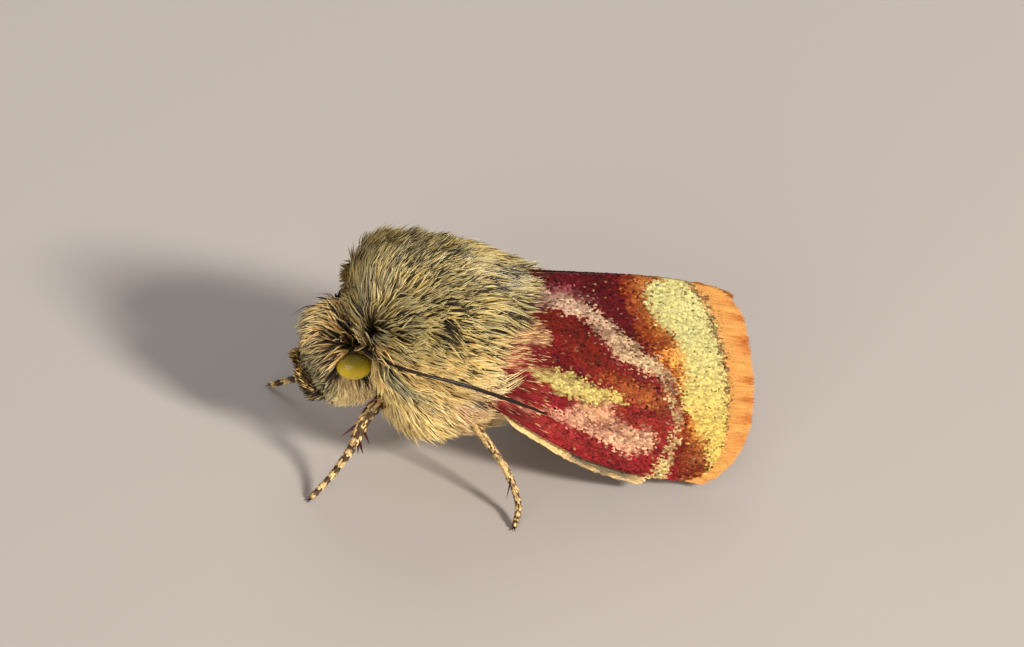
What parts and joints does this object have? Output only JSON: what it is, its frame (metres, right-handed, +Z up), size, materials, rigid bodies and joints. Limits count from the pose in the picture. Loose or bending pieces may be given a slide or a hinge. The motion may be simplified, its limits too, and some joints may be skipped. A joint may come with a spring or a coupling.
{
  "type": "flower moth",
  "caption": "Small day-flying flower moth at rest, wings folded roof-like over the abdomen, hairy thorax and head, feelers swept back.",
  "frame": {"origin": "on the floor, under the middle of the moth's bounding box", "axes": "+Z up, the head points to -X and the wing tips to +X, the moth's left side is towards -Y"},
  "size_m": [0.0112, 0.0078, 0.0059],
  "materials": {
    "head_coat": "short shaggy tan and dark hair scales",
    "thorax_coat": "long olive-tan hair scales with pale tips",
    "abdomen": "flat pale buff scales in rings",
    "eye": "glossy faceted olive green",
    "antenna": "thin dark brown rings",
    "palp": "dark bristly scales with pale tips",
    "forewing": "powdery scales in maroon, crimson, pink and pale yellow",
    "hindwing": "powdery buff scales, grey towards the edge",
    "leg": "cream scales banded with dark brown"
  },
  "bodies": {
    "root": {"head": "head_coat", "thorax": "thorax_coat", "abdomen": "abdomen", "eye_left": "eye", "eye_right": "eye", "antenna_left": "antenna", "antenna_right": "antenna", "palp_left": "palp", "palp_right": "palp", "forewing_left": "forewing", "forewing_right": "forewing", "hindwing_left": "hindwing", "hindwing_right": "hindwing", "foreleg_left": "leg", "foreleg_right": "leg", "midleg_left": "leg", "midleg_right": "leg", "hindleg_left": "leg", "hindleg_right": "leg"}
  },
  "joints": []
}
